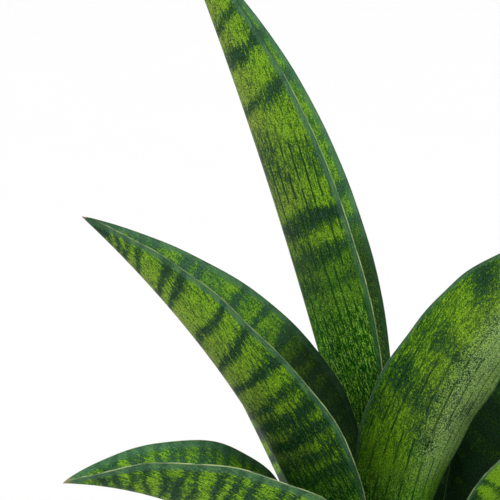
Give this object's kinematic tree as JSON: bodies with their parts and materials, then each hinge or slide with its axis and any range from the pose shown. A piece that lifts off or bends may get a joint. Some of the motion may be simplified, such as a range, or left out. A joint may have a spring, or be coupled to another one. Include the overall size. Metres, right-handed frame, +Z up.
{
  "type": "potted snake plant",
  "caption": "Snake plant with stiff, folded, pointed leaves in dark and light green bands, rising from a rhizome in potting mix in a plain round clay pot.",
  "frame": {"origin": "centre of the pot's flat underside, where it stands", "axes": "+Z up along the pot's axis; +Y points away from the viewer of the front, +X to the right, so the tall leaf leans towards -X"},
  "size_m": [0.2528, 0.2329, 0.3638],
  "materials": {
    "leaf_tall": "satin",
    "leaf_left": "satin",
    "leaf_low_left": "satin",
    "leaf_front_right": "satin",
    "leaf_right": "satin",
    "leaf_back_right": "satin",
    "leaf_back_left": "satin",
    "leaf_back_low": "satin",
    "leaf_front_low": "satin",
    "leaf_right_low": "satin",
    "leaf_spear": "satin",
    "rhizome": "matte",
    "potting_mix": "matte",
    "pot": "matte"
  },
  "bodies": {
    "root": {"leaf_tall": "leaf_tall", "leaf_left": "leaf_left", "leaf_low_left": "leaf_low_left", "leaf_front_right": "leaf_front_right", "leaf_right": "leaf_right", "leaf_back_right": "leaf_back_right", "leaf_back_left": "leaf_back_left", "leaf_back_low": "leaf_back_low", "leaf_front_low": "leaf_front_low", "leaf_right_low": "leaf_right_low", "leaf_spear": "leaf_spear", "rhizome": "rhizome", "potting_mix": "potting_mix", "pot": "pot"}
  },
  "joints": []
}
